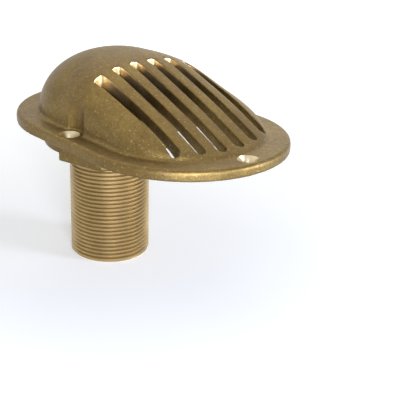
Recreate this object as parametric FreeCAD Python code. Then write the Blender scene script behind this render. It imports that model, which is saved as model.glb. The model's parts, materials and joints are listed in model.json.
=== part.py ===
import FreeCAD, Part
import math
import os

# A through-hull intake strainer: one bronze casting with a racetrack flange,
# a slotted scoop hood, and a stem that passes through the hull.
# All sizes are in millimetres. The origin is on the stem's axis, in the plane
# of the flange's underside. +Z is the outside of the hull, +X runs from the
# stem towards the slotted tip.

# Flange
flange_length = 156.0
flange_width = 102.0
flange_thickness = 5.2
flange_edge_radius = 1.8
stem_to_flange_centre = 33.5

# Screw holes, one at the tip and one on each side, evenly round one circle.
# Each has room for its head, cut square into the hood's foot as far as the reach.
screw_angles = (0, 120, 240)
screw_edge_margin = 6.6
screw_hole_diameter = 5.4
screw_head_diameter = 10.6
screw_relief_radius = 9.5
screw_relief_reach = 6.5
screw_relief_wall = 2.4

# Hood
hood_side_margin = 10.3
hood_end_margin = 12.5
hood_tip_margin = 12.5
hood_height = 36.3
hood_end_fullness = 2.15
hood_side_fullness = 2.65
hood_wall = 5.0
hood_foot_radius = 2.0
hood_tip_rise = 2.47
roof_bend_start = 9.5
roof_bend_length = 31.4

# Slots
slot_count = 6
slot_pitch = 10.7
slot_width = 4.8
slot_start = 27.0
slot_corner_radius = 1.0
slot_tips_margin = 3.9
slot_tips_radius = 50.0

# Plate under the closed end, with a round boss and a hexagon round the stem
plate_edge = 31.0
plate_depth = 6.0
plate_side_margin = 3.0
boss_diameter = 68.0
boss_depth = 13.7
hexagon_across_corners = 56.3
hexagon_depth = 22.2
hexagon_turn = 15.0

# Stem, for a straight thread of 1-1/4 inch nominal pipe size
stem_diameter = 42.16
stem_depth = 76.4
stem_chamfer = 1.2
bore_diameter = 33.0
bore_chamfer = 0.8

# Worked out from the sizes above
flange_half_length = flange_length / 2
flange_half_width = flange_width / 2
hood_half_width = flange_half_width - hood_side_margin
hood_end_x = stem_to_flange_centre - flange_half_length + hood_end_margin
hood_tip_x = stem_to_flange_centre + flange_half_length - hood_tip_margin
roof_fall = hood_height - flange_thickness - hood_tip_rise
roof_slope = roof_fall / (hood_tip_x - roof_bend_start - roof_bend_length / 2)
screw_circle_radius = (flange_half_width - screw_edge_margin) / math.sin(math.radians(screw_angles[1]))
screw_circle_x = stem_to_flange_centre + flange_half_length - screw_edge_margin - screw_circle_radius

# How finely the hood's sections are drawn
arch_points = 12
straight_sections = 7
tip_section_angles = (14, 28, 41, 53, 64, 73, 79, 83)
# A tool that cuts right through stands this far past the face it leaves
cut_past = 1.0
# Forms that join go this far into each other
join_bite = 0.05
# How finely the round at the hood's foot is worked out
foot_section_angles = range(-90, 91, 15)
foot_halvings = 12
foot_slope_step = 0.005


def point(x, y, z):
    return FreeCAD.Vector(x, y, z)


def line(start, end):
    return Part.LineSegment(start, end).toShape()


def racetrack_face(centre_x, half_length, half_width, z):
    """A flat face with two straight sides and two round ends."""
    reach = half_length - half_width
    left = centre_x - reach
    right = centre_x + reach
    tip_arc = Part.Arc(point(right, -half_width, z), point(right + half_width, 0, z),
                       point(right, half_width, z)).toShape()
    end_arc = Part.Arc(point(left, half_width, z), point(left - half_width, 0, z),
                       point(left, -half_width, z)).toShape()
    far_side = line(point(right, half_width, z), point(left, half_width, z))
    near_side = line(point(left, -half_width, z), point(right, -half_width, z))
    return Part.Face(Part.Wire([tip_arc, far_side, end_arc, near_side]))


def make_flange():
    """The racetrack flange with its upper edge rounded."""
    outline = racetrack_face(stem_to_flange_centre, flange_half_length, flange_half_width, 0)
    flange = outline.extrude(point(0, 0, flange_thickness))
    top_edges = [edge for edge in flange.Edges if edge.BoundBox.ZMin > flange_thickness / 2]
    return flange.makeFillet(flange_edge_radius, top_edges)


def roof_height(x, drop):
    """Height of the hood's ridge: level, then a bend, then a straight slope."""
    run = x - roof_bend_start
    if run <= 0:
        fall = 0
    elif run < roof_bend_length:
        fall = roof_slope * run ** 2 / (2 * roof_bend_length)
    else:
        fall = roof_slope * (run - roof_bend_length / 2)
    return hood_height - drop - fall


def fullness(x, spine_start):
    """Squareness of the hood's arch, which grows from the closed end to the slots."""
    share = min(max((x - spine_start) / (slot_start - spine_start), 0), 1)
    return hood_end_fullness + (hood_side_fullness - hood_end_fullness) * share


def half_arch(x, side, spine_start, spine_end, half_width, base, drop):
    """One side of the hood's arch in the plane at x, from the ridge to its foot."""
    past = max(x - spine_end, 0) / half_width
    reach = half_width * math.sqrt(1 - past ** 2)
    power = fullness(x, spine_start)
    points = []
    for step in range(arch_points + 1):
        share = 1 - (1 - step / arch_points) ** power
        distance = min(math.hypot(past, share * reach / half_width), 1)
        rise = (1 - distance ** power) ** (1 / power) if step < arch_points else 0
        z = base + (roof_height(x, drop) - base) * rise
        points.append(point(x, side * share * reach, z))
    curve = Part.BSplineCurve()
    places = [step / arch_points for step in range(arch_points + 1)]
    curve.interpolate(Points=points, Parameters=places)
    return curve.toShape(), points[0], points[-1]


def arch_wire(x, spine_start, spine_end, half_width, base, foot, drop):
    """The whole arch in the plane at x, closed by two legs and a floor line."""
    right, ridge, right_foot = half_arch(x, 1, spine_start, spine_end, half_width, base, drop)
    left, ridge, left_foot = half_arch(x, -1, spine_start, spine_end, half_width, base, drop)
    right_floor = point(x, right_foot.y, foot)
    left_floor = point(x, left_foot.y, foot)
    return Part.Wire([left, right, line(right_foot, right_floor), line(right_floor, left_floor),
                      line(left_floor, left_foot)])


def hood_body(inset, base, foot):
    """The hood's outer form, or the form inside it when inset is the wall."""
    half_width = hood_half_width - inset
    spine_start = hood_end_x + hood_half_width
    spine_end = hood_tip_x - hood_half_width
    drop = inset * math.hypot(1, roof_slope)
    stations = [spine_start + (spine_end - spine_start) * step / straight_sections
                for step in range(straight_sections + 1)]
    stations += [spine_end + half_width * math.sin(math.radians(angle)) for angle in tip_section_angles]
    wires = [arch_wire(x, spine_start, spine_end, half_width, base, foot, drop) for x in stations]
    slotted_end = Part.makeLoft(wires, True, False)
    edge, ridge, edge_foot = half_arch(spine_start, 1, spine_start, spine_end, half_width, base, drop)
    floor_edge = point(spine_start, edge_foot.y, foot)
    floor_centre = point(spine_start, 0, foot)
    profile = Part.Wire([edge, line(edge_foot, floor_edge), line(floor_edge, floor_centre),
                         line(floor_centre, ridge)])
    closed_end = Part.Face(profile).revolve(point(spine_start, 0, 0), point(0, 0, 1), 180)
    return slotted_end.fuse(closed_end)


def hood_rise(place, angle, distance):
    """Height of the hood over the flange at a distance from a place on its spine."""
    height = roof_height(place + distance * math.cos(angle), 0) - flange_thickness
    power = fullness(place, hood_end_x + hood_half_width)
    return height * (1 - (distance / hood_half_width) ** power) ** (1 / power)


def foot_contact(place, angle):
    """Where the foot's round touches the hood's side, and how far the side leans there."""
    near = hood_half_width - hood_foot_radius * 2
    far = hood_half_width
    for halving in range(foot_halvings):
        distance = (near + far) / 2
        rise = hood_rise(place, angle, distance)
        lean = math.atan2(foot_slope_step, hood_rise(place, angle, distance - foot_slope_step) - rise)
        if rise > hood_foot_radius * (1 - math.sin(lean)):
            near = distance
        else:
            far = distance
    return distance, lean


def foot_section(place, angle):
    """A slice of the round that joins the hood's foot to the flange."""
    contact, lean = foot_contact(place, angle)
    contact -= join_bite
    sweep = math.radians(90) - lean
    centre = contact + hood_foot_radius * math.cos(lean)
    arc = [(centre - hood_foot_radius * math.sin(turn), hood_foot_radius * (1 - math.cos(turn)))
           for turn in (0, sweep / 2, sweep)]
    inner = contact - hood_foot_radius
    low = -hood_foot_radius
    spots = arc + [(inner, arc[2][1]), (inner, low), (centre, low), (centre, 0)]
    corners = [point(place + out * math.cos(angle), out * math.sin(angle), flange_thickness + up)
               for out, up in spots]
    edges = [Part.Arc(corners[0], corners[1], corners[2]).toShape()]
    edges += [line(start, end) for start, end in zip(corners[2:], corners[3:])]
    return Part.Wire(edges)


def make_foot():
    """The round all the way along the hood's foot."""
    spine_start = hood_end_x + hood_half_width
    spine_end = hood_tip_x - hood_half_width
    places = [spine_start + (spine_end - spine_start) * step / straight_sections
              for step in range(straight_sections + 1)]
    tip = Part.makeLoft([foot_section(spine_end, math.radians(angle)) for angle in foot_section_angles],
                        True, False)
    sides = [Part.makeLoft([foot_section(place, math.radians(angle)) for place in places], True, False)
             for angle in (-90, 90)]
    slice_face = Part.Face(foot_section(spine_start, math.radians(90)))
    closed_end = slice_face.revolve(point(spine_start, 0, 0), point(0, 0, 1), 180)
    return tip.fuse(sides + [closed_end])


def screw_places():
    """The three screw holes' centres, evenly round their circle."""
    return [(screw_circle_x + screw_circle_radius * math.cos(math.radians(angle)),
             screw_circle_radius * math.sin(math.radians(angle))) for angle in screw_angles]


def make_relief(x, y, wall, low):
    """The room round a screw's head, grown by a wall. Its axis stands further out than the screw's."""
    out = screw_relief_radius - screw_relief_reach
    if abs(y) > out:
        centre = point(x, y + math.copysign(out, y), low)
    else:
        centre = point(x + out, y, low)
    return Part.makeCylinder(screw_relief_radius + wall, hood_height, centre)


def make_cavity():
    """The space inside the hood, less the walls that stand round the screw holes."""
    pillars = [make_relief(x, y, screw_relief_wall, -cut_past) for x, y in screw_places()]
    return hood_body(hood_wall, -join_bite, -cut_past).cut(pillars)


def make_slot(y):
    """One slot's cutter: nearly square at the top, round at the tip."""
    radius = slot_width / 2
    slot_end = hood_tip_x - slot_tips_margin - slot_tips_radius + math.sqrt(slot_tips_radius ** 2 - y ** 2)
    tip_centre = slot_end - radius
    height = hood_height + cut_past
    straight = Part.makeBox(tip_centre - slot_start, slot_width, height,
                            point(slot_start, y - radius, -cut_past))
    top_corners = [edge for edge in straight.Edges
                   if edge.BoundBox.XMax < slot_start + cut_past and edge.BoundBox.ZLength > height / 2]
    straight = straight.makeFillet(slot_corner_radius, top_corners)
    return straight.fuse(Part.makeCylinder(radius, height, point(tip_centre, y, -cut_past)))


def make_waterway():
    """The cutters for the cavity and the slots, which leave the plate whole."""
    low = -cut_past * 2
    plate_space = Part.makeBox(flange_length, flange_width, flange_thickness - low,
                               point(plate_edge - flange_length, -flange_half_width, low))
    cutters = [make_cavity()] + [make_slot(y) for y in slot_places()]
    return [cutter.cut(plate_space) for cutter in cutters]


def slot_places():
    """Each slot's distance from the middle plane."""
    return [(number - (slot_count - 1) / 2) * slot_pitch for number in range(slot_count)]


def make_screw_hole(x, y):
    """A through hole with its countersink."""
    radius = screw_hole_diameter / 2
    head_radius = screw_head_diameter / 2
    sink = head_radius - radius
    hole = Part.makeCylinder(radius, flange_thickness + 2 * cut_past, point(x, y, -cut_past))
    cone = Part.makeCone(radius, head_radius, sink, point(x, y, flange_thickness - sink))
    clear = Part.makeCylinder(head_radius, cut_past, point(x, y, flange_thickness))
    return hole.fuse([cone, clear])


def make_underside():
    """The plate, the round boss and the hexagon between the flange and the stem."""
    half_width = hood_half_width - plate_side_margin
    half_length = (hood_tip_x - hood_end_x) / 2 - plate_side_margin
    centre = (hood_tip_x + hood_end_x) / 2
    plate = racetrack_face(centre, half_length, half_width, -plate_depth)
    plate = plate.extrude(point(0, 0, plate_depth + flange_thickness))
    boss = Part.makeCylinder(boss_diameter / 2, boss_depth, point(0, 0, -boss_depth))
    beyond = Part.makeBox(flange_length, flange_width, 2 * stem_depth,
                          point(plate_edge, -flange_half_width, -stem_depth))
    corners = []
    for number in range(7):
        angle = math.radians(hexagon_turn + 60 * number)
        radius = hexagon_across_corners / 2
        corners.append(point(radius * math.cos(angle), radius * math.sin(angle), -hexagon_depth))
    hexagon = Part.Face(Part.makePolygon(corners)).extrude(point(0, 0, hexagon_depth))
    return plate.fuse([boss, hexagon]).cut(beyond)


def make_stem():
    """The stem's outside, turned to the thread's outer diameter."""
    radius = stem_diameter / 2
    straight = Part.makeCylinder(radius, stem_depth - stem_chamfer, point(0, 0, stem_chamfer - stem_depth))
    end = Part.makeCone(radius - stem_chamfer, radius, stem_chamfer, point(0, 0, -stem_depth))
    return straight.fuse(end)


def make_bore():
    """The waterway from the hood's floor through the stem's end."""
    radius = bore_diameter / 2
    bore = Part.makeCylinder(radius, stem_depth + flange_thickness + 2 * cut_past,
                             point(0, 0, -stem_depth - cut_past))
    mouth = Part.makeCone(radius + bore_chamfer, radius, bore_chamfer, point(0, 0, -stem_depth))
    return bore.fuse(mouth)


def make_strainer():
    """The whole casting with its machined holes."""
    hood = hood_body(0, flange_thickness - join_bite, flange_thickness / 2)
    body = make_flange().fuse([hood, make_foot(), make_underside(), make_stem()])
    body = body.cut(make_waterway())
    reliefs = [make_relief(x, y, 0, flange_thickness) for x, y in screw_places()]
    holes = [make_screw_hole(x, y) for x, y in screw_places()]
    return body.cut(reliefs + holes + [make_bore()]).removeSplitter()


os.makedirs("parts", exist_ok=True)
strainer = make_strainer()
print("solids", len(strainer.Solids), "valid", strainer.isValid())
strainer = strainer.Solids[0]
strainer.exportStep("parts/strainer_body.step")
print("faces", len(strainer.Faces), "volume", round(strainer.Volume), "centre", strainer.CenterOfMass)
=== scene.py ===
import json
import math

import bmesh
import bpy
from mathutils import Matrix, Vector


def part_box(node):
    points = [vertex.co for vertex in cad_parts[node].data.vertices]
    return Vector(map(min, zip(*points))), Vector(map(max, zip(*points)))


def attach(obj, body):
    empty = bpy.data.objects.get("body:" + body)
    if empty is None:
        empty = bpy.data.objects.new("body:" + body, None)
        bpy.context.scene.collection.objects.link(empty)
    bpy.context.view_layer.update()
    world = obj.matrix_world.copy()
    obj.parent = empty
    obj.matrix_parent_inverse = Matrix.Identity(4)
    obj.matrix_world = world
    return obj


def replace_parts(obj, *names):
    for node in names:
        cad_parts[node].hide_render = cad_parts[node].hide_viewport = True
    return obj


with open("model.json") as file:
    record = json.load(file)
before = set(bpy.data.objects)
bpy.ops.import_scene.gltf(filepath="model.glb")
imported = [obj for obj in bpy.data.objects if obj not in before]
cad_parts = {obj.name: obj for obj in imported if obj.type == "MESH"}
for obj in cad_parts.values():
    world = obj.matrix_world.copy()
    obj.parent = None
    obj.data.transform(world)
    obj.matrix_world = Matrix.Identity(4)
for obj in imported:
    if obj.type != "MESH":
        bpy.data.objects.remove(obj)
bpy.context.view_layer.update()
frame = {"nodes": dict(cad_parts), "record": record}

# Sizes in metres. The stem's and the screw circle's sizes come from the frame's mounts.
mounts = {mount["name"]: mount for mount in frame["record"]["mounts"]}
low_corner, high_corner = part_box("strainer_body")
stem_radius = mounts["stem_thread"]["dims"]["r_mm"] / 1000
bore_radius = mounts["stem_bore"]["dims"]["r_mm"] / 1000
stem_end = low_corner[2]
screw_circle_radius = mounts["screw_holes"]["dims"]["pcd_mm"] / 2000
screw_circle_centre = Vector(mounts["screw_holes"]["pos_m"])
hole_radius = mounts["screw_holes"]["dims"]["hole_r_mm"] / 1000
screw_angles = (0, 120, 240)
head_radius = 0.0053
flange_thickness = 0.0052
hexagon_bottom = -0.0222
merge_gap = 1e-6

# The cast edges are softened on a fine even net, smoothed and then thinned out, with the
# screw holes filled by plugs and cut again afterwards
plug_radius = 0.0058
hole_steps = 64
hole_cutter_past = 0.002
cast_grid = 0.00045
cast_smoothing = 8
cast_share = 0.25
smoothing_factor = 0.5

# The hood is cut back round the side screws, and that hollow's edges are rounder still
relief_bottom = flange_thickness + 0.0015
relief_reach = 0.0165
relief_smoothing = 12

# The stem's straight pipe thread, 11.5 turns to the inch, as depths along one turn
thread_pitch = 0.0254 / 11.5
thread_depth = thread_pitch * 0.50
thread_profile = ((0.00, 0.0), (0.10, 0.0), (0.42, 1.0), (0.58, 1.0), (0.90, 0.0))
thread_steps = 96
end_chamfer = 0.0012
mouth_chamfer = 0.0008

# The casting reaches a little below the hexagon and the threaded stem a little into it
casting_lap = 0.0008
stem_lap = 0.0003

# Edges that turn more sharply than this are shaded as edges
hole_edge_angle = math.radians(30)
thread_edge_angle = math.radians(45)

# Colours of the bronze
cast_brown = (0.165, 0.107, 0.036, 1)
cast_gold = (0.215, 0.148, 0.047, 1)
cast_shade = (0.125, 0.080, 0.031, 1)
cast_pore = (0.055, 0.035, 0.017, 1)
cast_speck = (0.42, 0.33, 0.19, 1)
# Painted light on the slots' walls near their upper ends
slot_end_painted_light = (0.66, 0.53, 0.32, 1)
turned_bright = (0.44, 0.325, 0.16, 1)
turned_dull = (0.36, 0.26, 0.12, 1)
# Painted reflection in the screws' holes and sinks
sink_painted_reflection = (0.55, 0.46, 0.29, 1)

# Patterns in the bronze: how fine, how detailed and how rough each one is
patches = (50, 3, 0.55)
mottle = (420, 4, 0.7)
pores = (900, 2, 0.5)
specks = (1100, 1, 0.5)
grain = (1300, 3, 0.6)
swells = (170, 2, 0.5)
stains = (120, 3, 0.6)
fine_scratches = (2500, 2, 0.5)

# What lies over the casting's brown: a pattern, its low and high values, the share there, the colour
cast_layers = ((patches, (0.36, 0.64), (0.0, 1.0), cast_gold),
               (mottle, (0.35, 0.70), (0.0, 0.6), cast_shade),
               (pores, (0.30, 0.38), (0.45, 0.0), cast_pore),
               (specks, (0.62, 0.76), (0.0, 0.55), cast_speck))
turned_layers = ((stains, (0.35, 0.70), (0.0, 1.0), turned_dull),)

# Bumps, the coarsest first: a pattern, its height in metres and its strength
cast_bumps = ((swells, 0.0006, 0.6), (pores, 0.00012, 0.6), (grain, 0.00014, 1.0))
turned_bumps = ((fine_scratches, 0.00003, 1.0),)

# How rough the surfaces are at a pattern's low and high values
pattern_spread = (0.3, 0.7)
cast_roughness = (0.52, 0.38)
turned_roughness = (0.28, 0.38)
# Smoother where the slots' walls carry the painted light
slot_light_roughness_change = -0.12

# Painted light: the slots' upright walls are coloured bright at their square upper ends, fading along them,
# and made smoother there
slot_start = 0.0270
slot_light_from = 0.0285
slot_light_to = 0.0500
slot_light_lead = 0.0012
slot_light_above = 0.016
slot_light_rise = 0.004
slot_light_within = 0.0300
slot_light_side = 0.001
wall_lean = (0.25, 0.45)
# Above this height the turned bronze carries the painted reflection of the screws' holes and sinks
sinks_above = -0.001

# The floor and the world are white where they are seen, also in the metal, and throw softer light
# than that on each other. The floor glows more away from the object, so only the shadow darkens it.
floor_size = 3
floor_white = (0.72, 0.72, 0.72, 1)
floor_grey = (0.55, 0.55, 0.55, 1)
floor_roughness = 0.9
floor_glow = 0.30
glow_from = 0.10
glow_to = 0.60
world_light = 0.19
white = (1, 1, 1, 1)

# Each lamp's azimuth and height angle round the target, its distance, size, power and colour
lamp_target = Vector((0.03, 0, -0.01))
cool = (0.94, 1.03, 1.25)
warm = (1.05, 1.00, 0.78)
lamps = {"front_low": (-32, 9, 1.0, 0.35, 15.0, cool), "front_high": (-39, 40, 1.0, 0.8, 0.6, cool),
         "right_low": (32, 8, 1.0, 0.3, 9.0, cool), "left_high": (-129, 55, 0.9, 0.7, 0.8, warm),
         "back_high": (141, 55, 0.9, 0.7, 1.25, warm), "back_low": (120, 14, 1.0, 0.6, 0.7, warm)}

# The camera: where it stands round the flange's centre and how its aim is turned from it
camera_azimuth = -38.791
camera_elevation = 18.372
camera_distance = 0.5053
aim_turn = -3.155
aim_lift = -3.924
camera_roll = 1.615
focal_length_px = 1006.1
picture_width_px = 400
sensor_width_mm = 36
flange_centre = Vector((0.0335, 0, 0))


def new_material(name):
    """A material with its node tree and its shader."""
    material = bpy.data.materials.new(name)
    material.use_nodes = True
    return material, material.node_tree, material.node_tree.nodes["Principled BSDF"]


def add_node(tree, kind, inputs, **settings):
    """A node with its settings made, each input given a plain value or another node's output."""
    node = tree.nodes.new(kind)
    for name, value in settings.items():
        setattr(node, name, value)
    for socket, value in inputs.items():
        if isinstance(value, bpy.types.NodeSocket):
            tree.links.new(value, node.inputs[socket])
        else:
            node.inputs[socket].default_value = value
    return node


def object_place(tree):
    """The piece's own coordinates."""
    return add_node(tree, "ShaderNodeTexCoord", {}).outputs["Object"]


def noise(tree, place, scale, detail, rough):
    """A cloudy pattern from about 0 to 1."""
    inputs = {"Vector": place, "Scale": scale, "Detail": detail, "Roughness": rough}
    return add_node(tree, "ShaderNodeTexNoise", inputs).outputs["Fac"]


def remap(tree, value, low, high, to_low=0.0, to_high=1.0):
    """A value moved from one range to another, and kept within it."""
    inputs = {"Value": value, "From Min": low, "From Max": high, "To Min": to_low, "To Max": to_high}
    return add_node(tree, "ShaderNodeMapRange", inputs).outputs["Result"]


def mix_colour(tree, share, first, second):
    """The first colour where the share is 0, the second where it is 1."""
    return add_node(tree, "ShaderNodeMix", {0: share, 6: first, 7: second}, data_type="RGBA").outputs[2]


def calculate(tree, operation, *values):
    """Values worked into one."""
    return add_node(tree, "ShaderNodeMath", dict(enumerate(values)), operation=operation).outputs[0]


def split(tree, vector):
    """The X, Y and Z of a place or a direction."""
    return add_node(tree, "ShaderNodeSeparateXYZ", {0: vector}).outputs


def layered_colour(tree, place, base, layers):
    """A base colour with patterned layers of other colours over it."""
    colour = base
    for pattern, spread, shares, layer in layers:
        share = remap(tree, noise(tree, place, *pattern), *spread, *shares)
        colour = mix_colour(tree, share, colour, layer)
    return colour


def bumped_normal(tree, place, bumps):
    """The surface's direction with patterned bumps on it."""
    normal = {}
    for pattern, height, strength in bumps:
        inputs = {"Height": noise(tree, place, *pattern), "Distance": height, "Strength": strength}
        normal = {"Normal": add_node(tree, "ShaderNodeBump", inputs | normal).outputs["Normal"]}
    return normal["Normal"]


def patterned_roughness(tree, place, pattern, roughness):
    """A roughness that follows a pattern."""
    return remap(tree, noise(tree, place, *pattern), *pattern_spread, *roughness)


def painted_slot_light_share(tree, place):
    """How much painted light the slots' walls get at each place, most at their upper ends."""
    spot = split(tree, place)
    normal = add_node(tree, "ShaderNodeNewGeometry", {}).outputs["Normal"]
    across = calculate(tree, "ABSOLUTE", spot["Y"])
    lean = calculate(tree, "ABSOLUTE", split(tree, normal)["Z"])
    share = remap(tree, spot["X"], slot_light_from, slot_light_to, 1.0, 0.0)
    for other in (remap(tree, spot["Z"], slot_light_above, slot_light_above + slot_light_rise),
                  remap(tree, across, slot_light_within, slot_light_within + slot_light_side, 1.0, 0.0),
                  remap(tree, lean, *wall_lean, 1.0, 0.0),
                  remap(tree, spot["X"], slot_start - slot_light_lead, slot_start - slot_light_lead / 2)):
        share = calculate(tree, "MULTIPLY", share, other)
    return share


def cast_bronze():
    """Sand-cast bronze: a fine grain, brown and gold patches, a few dark pores, bright specks and painted
    light in the slots.
    """
    material, tree, shader = new_material("cast_bronze")
    place = object_place(tree)
    # Painted light: the slots' walls near their upper ends are coloured bright and made smoother
    slot_light = painted_slot_light_share(tree, place)
    colour = mix_colour(tree, slot_light, layered_colour(tree, place, cast_brown, cast_layers), slot_end_painted_light)
    rough = patterned_roughness(tree, place, grain, cast_roughness)
    rough = calculate(tree, "MULTIPLY_ADD", slot_light, slot_light_roughness_change, rough)
    shader.inputs["Metallic"].default_value = 1.0
    tree.links.new(colour, shader.inputs["Base Color"])
    tree.links.new(rough, shader.inputs["Roughness"])
    tree.links.new(bumped_normal(tree, place, cast_bumps), shader.inputs["Normal"])
    return material


def turned_bronze():
    """Turned bronze, brighter and smoother than the casting, with a painted reflection that makes the screws'
    sinks brightest.
    """
    material, tree, shader = new_material("machined_bronze")
    place = object_place(tree)
    # Painted reflection: the screws' holes and sinks, above the flange's underside, get a paler, brighter
    # colour
    painted_reflection_share = remap(tree, split(tree, place)["Z"], sinks_above, 0.0)
    colour = mix_colour(tree, painted_reflection_share, layered_colour(tree, place, turned_bright, turned_layers), sink_painted_reflection)
    shader.inputs["Metallic"].default_value = 1.0
    tree.links.new(colour, shader.inputs["Base Color"])
    tree.links.new(patterned_roughness(tree, place, stains, turned_roughness), shader.inputs["Roughness"])
    tree.links.new(bumped_normal(tree, place, turned_bumps), shader.inputs["Normal"])
    return material


def white_seen(tree):
    """One where the white surroundings are seen, straight on, in a reflection or through something."""
    path = add_node(tree, "ShaderNodeLightPath", {}).outputs
    in_metal = calculate(tree, "MAXIMUM", path["Is Camera Ray"], path["Is Glossy Ray"])
    return calculate(tree, "MAXIMUM", in_metal, path["Is Transmission Ray"])


def floor_paper():
    """White paper that keeps the object's shadow, and throws back less light than it shows."""
    material, tree, shader = new_material("floor_paper")
    seen = white_seen(tree)
    away = add_node(tree, "ShaderNodeVectorMath", {0: object_place(tree)}, operation="LENGTH")
    glow = remap(tree, away.outputs["Value"], glow_from, glow_to, floor_glow, 1.0)
    shader.inputs["Roughness"].default_value = floor_roughness
    shader.inputs["Emission Color"].default_value = white
    tree.links.new(mix_colour(tree, seen, floor_grey, floor_white), shader.inputs["Base Color"])
    tree.links.new(calculate(tree, "MULTIPLY", glow, seen), shader.inputs["Emission Strength"])
    return material


def into_scene(name, maker, materials):
    """An object at the origin with the mesh that a bmesh made."""
    mesh = bpy.data.meshes.new(name)
    maker.to_mesh(mesh)
    maker.free()
    for material in materials:
        mesh.materials.append(material)
    thing = bpy.data.objects.new(name, mesh)
    bpy.context.scene.collection.objects.link(thing)
    return thing


def new_piece(name, maker, materials):
    """A piece with its materials, riding on the body."""
    piece = into_scene(name, maker, materials)
    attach(piece, "root")
    return piece


def settled_mesh(thing):
    """The mesh of an object with its modifiers worked out. The object goes."""
    bpy.context.view_layer.update()
    depsgraph = bpy.context.evaluated_depsgraph_get()
    mesh = bpy.data.meshes.new_from_object(thing.evaluated_get(depsgraph))
    old = thing.data
    bpy.data.objects.remove(thing)
    bpy.data.meshes.remove(old)
    return mesh


def cut_past(maker, height, kept):
    """Takes away what lies past a height: below it where kept is 1, above it where kept is -1."""
    everything = maker.verts[:] + maker.edges[:] + maker.faces[:]
    bmesh.ops.bisect_plane(maker, geom=everything, plane_co=(0, 0, height), plane_no=(0, 0, kept),
                           clear_inner=True)


def screw_places():
    """The screw holes' centres, in the plane of the flange's underside."""
    arm = Vector((screw_circle_radius, 0, 0))
    return [screw_circle_centre + Matrix.Rotation(math.radians(angle), 3, "Z") @ arm
            for angle in screw_angles]


def at_screw_holes(name, profile, material):
    """A turned form at each screw hole, from the radius and height of each corner of its profile."""
    forms = bmesh.new()
    for place in screw_places():
        form = bmesh.new()
        corners = [form.verts.new((radius, 0, height)) for radius, height in profile]
        edges = [form.edges.new(pair) for pair in zip(corners, corners[1:])]
        bmesh.ops.spin(form, geom=corners + edges, cent=(0, 0, 0), axis=(0, 0, 1), angle=math.tau,
                       steps=hole_steps, use_merge=True)
        bmesh.ops.remove_doubles(form, verts=form.verts, dist=merge_gap / 10)
        bmesh.ops.translate(form, verts=form.verts, vec=place)
        bmesh.ops.recalc_face_normals(form, faces=form.faces)
        mesh = bpy.data.meshes.new(name)
        form.to_mesh(mesh)
        form.free()
        forms.from_mesh(mesh)
        bpy.data.meshes.remove(mesh)
    return into_scene(name, forms, [material])


def softened_body(bronze):
    """The CAD solid with its screw holes filled and its cast edges softened."""
    plugs = at_screw_holes("plugs", ((0, 0), (plug_radius, 0), (plug_radius, flange_thickness),
                                     (0, flange_thickness)), bronze)
    rough = bmesh.new()
    rough.from_mesh(frame["nodes"]["strainer_body"].data)
    bmesh.ops.remove_doubles(rough, verts=rough.verts, dist=merge_gap)
    rough.from_mesh(settled_mesh(plugs))
    body = into_scene("rough_body", rough, [])
    net = body.modifiers.new("net", "REMESH")
    net.mode = "VOXEL"
    net.voxel_size = cast_grid
    smooth = body.modifiers.new("smooth", "SMOOTH")
    smooth.factor = smoothing_factor
    smooth.iterations = cast_smoothing
    fewer = body.modifiers.new("fewer", "DECIMATE")
    fewer.ratio = cast_share
    soft = settled_mesh(body)
    soft.materials.clear()
    soft.materials.append(bronze)
    body = bpy.data.objects.new("soft_body", soft)
    bpy.context.scene.collection.objects.link(body)
    return body


def bored_mesh(body, turned):
    """The mesh of the softened body with its countersunk screw holes cut crisp, in turned bronze."""
    top = flange_thickness + hole_cutter_past
    sink_bottom = flange_thickness - (head_radius - hole_radius)
    cutters = at_screw_holes("cutters", ((0, -hole_cutter_past), (hole_radius, -hole_cutter_past),
                                         (hole_radius, sink_bottom), (head_radius, flange_thickness),
                                         (head_radius, top), (0, top)), turned)
    cut = body.modifiers.new("cut", "BOOLEAN")
    cut.operation = "DIFFERENCE"
    cut.solver = "EXACT"
    cut.material_mode = "TRANSFER"
    cut.object = cutters
    bored = settled_mesh(body)
    bpy.data.objects.remove(cutters)
    return bored


def round_reliefs(casting):
    """Smooths the hood further round the hollows over the screws."""
    for place in screw_places():
        near = [vert for vert in casting.verts
                if vert.co.z > relief_bottom and (vert.co.xy - place.xy).length < relief_reach]
        for turn in range(relief_smoothing):
            bmesh.ops.smooth_vert(casting, verts=near, factor=smoothing_factor,
                                  use_axis_x=True, use_axis_y=True, use_axis_z=True)


def make_casting(bronze, turned):
    """The flange, hood and underside down to the hexagon."""
    casting = bmesh.new()
    casting.from_mesh(bored_mesh(softened_body(bronze), turned))
    round_reliefs(casting)
    cut_past(casting, hexagon_bottom - casting_lap, 1)
    for face in casting.faces:
        face.smooth = True
    for edge in casting.edges:
        turned_faces = sum(face.material_index for face in edge.link_faces)
        edge.smooth = turned_faces != 1 or edge.calc_face_angle(0) < hole_edge_angle
    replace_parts(new_piece("casting", casting, [bronze, turned]), "strainer_body")


def spun_thread():
    """The outside of the stem: a right-hand thread, a turn too long at each end."""
    stem = bmesh.new()
    top = hexagon_bottom + thread_pitch
    bottom = stem_end - thread_pitch
    line = []
    for turn in range(math.ceil((top - bottom) / thread_pitch)):
        for share, depth in thread_profile:
            height = bottom + (turn + share) * thread_pitch
            line.append(stem.verts.new((stem_radius - depth * thread_depth, 0, height)))
    edges = [stem.edges.new(pair) for pair in zip(line, line[1:])]
    bmesh.ops.spin(stem, geom=line + edges, cent=(0, 0, 0), axis=(0, 0, 1), angle=math.tau,
                   dvec=(0, 0, thread_pitch / thread_steps), steps=thread_steps, use_merge=False)
    bmesh.ops.remove_doubles(stem, verts=stem.verts, dist=merge_gap)
    return stem


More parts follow.
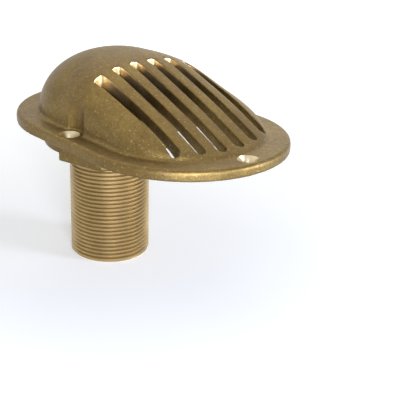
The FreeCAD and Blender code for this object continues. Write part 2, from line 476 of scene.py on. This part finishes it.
def make_threaded_stem(turned):
    """The stem below the hexagon, with its end chamfered and its plain bore."""
    stem = spun_thread()
    stem_top = hexagon_bottom + stem_lap
    cut_past(stem, stem_top, -1)
    cut_past(stem, stem_end, 1)
    for vert in stem.verts:
        limit = stem_radius - max(0, end_chamfer - (vert.co.z - stem_end))
        radius = vert.co.xy.length
        if radius > limit:
            vert.co.xy *= limit / radius
    rim = [edge for edge in stem.edges
           if edge.is_boundary and all(abs(vert.co.z - stem_end) < merge_gap for vert in edge.verts)]
    for radius, height in ((bore_radius + mouth_chamfer, stem_end), (bore_radius, stem_end + mouth_chamfer),
                           (bore_radius, stem_top)):
        made = bmesh.ops.extrude_edge_only(stem, edges=rim)["geom"]
        rim = [part for part in made if isinstance(part, bmesh.types.BMEdge)]
        for vert in [part for part in made if isinstance(part, bmesh.types.BMVert)]:
            vert.co.xy *= radius / vert.co.xy.length
            vert.co.z = height
    bmesh.ops.recalc_face_normals(stem, faces=stem.faces)
    for face in stem.faces:
        face.smooth = True
    for edge in stem.edges:
        edge.smooth = len(edge.link_faces) == 2 and edge.calc_face_angle(0) < thread_edge_angle
    new_piece("threaded_stem", stem, [turned])


def make_floor():
    """A plain floor at the stem's end."""
    floor = bmesh.new()
    bmesh.ops.create_grid(floor, x_segments=1, y_segments=1, size=floor_size)
    bmesh.ops.translate(floor, verts=floor.verts, vec=(0, 0, stem_end))
    into_scene("floor", floor, [floor_paper()])


def direction(azimuth, elevation):
    """The direction of an azimuth and a height angle, both in radians."""
    level = math.cos(elevation)
    return Vector((level * math.cos(azimuth), level * math.sin(azimuth), math.sin(elevation)))


def add_lamp(name, azimuth, elevation, distance, size, power, colour):
    """A soft square lamp that faces the object."""
    data = bpy.data.lights.new(name, "AREA")
    data.size = size
    data.energy = power
    data.color = colour
    lamp = bpy.data.objects.new(name, data)
    away = direction(math.radians(azimuth), math.radians(elevation))
    lamp.location = lamp_target + away * distance
    lamp.rotation_euler = (lamp_target - lamp.location).to_track_quat("-Z", "Y").to_euler()
    bpy.context.scene.collection.objects.link(lamp)


def add_world():
    """A plain world, white where it is seen."""
    world = bpy.data.worlds.new("studio")
    world.use_nodes = True
    tree = world.node_tree
    background = tree.nodes["Background"]
    background.inputs["Color"].default_value = white
    strength = remap(tree, white_seen(tree), 0, 1, world_light, 1.0)
    tree.links.new(strength, background.inputs["Strength"])
    bpy.context.scene.world = world


def add_camera():
    """The camera of the photograph's view."""
    azimuth = math.radians(camera_azimuth)
    elevation = math.radians(camera_elevation)
    forward = direction(azimuth + math.pi + math.radians(aim_turn), math.radians(aim_lift) - elevation)
    right = forward.cross(Vector((0, 0, 1))).normalized()
    up = right.cross(forward)
    roll = Matrix.Rotation(math.radians(-camera_roll), 3, forward)
    axes = Matrix((roll @ right, roll @ up, -forward)).transposed()
    place = flange_centre + direction(azimuth, elevation) * camera_distance
    data = bpy.data.cameras.new("camera")
    data.sensor_width = sensor_width_mm
    data.lens = focal_length_px * sensor_width_mm / picture_width_px
    camera = bpy.data.objects.new("camera", data)
    camera.matrix_world = Matrix.Translation(place) @ axes.to_4x4()
    bpy.context.scene.collection.objects.link(camera)
    bpy.context.scene.camera = camera


bronze = cast_bronze()
turned = turned_bronze()
make_casting(bronze, turned)
make_threaded_stem(turned)
make_floor()
add_world()
for name, settings in lamps.items():
    add_lamp(name, *settings)
add_camera()
bpy.context.scene.view_settings.view_transform = "Standard"
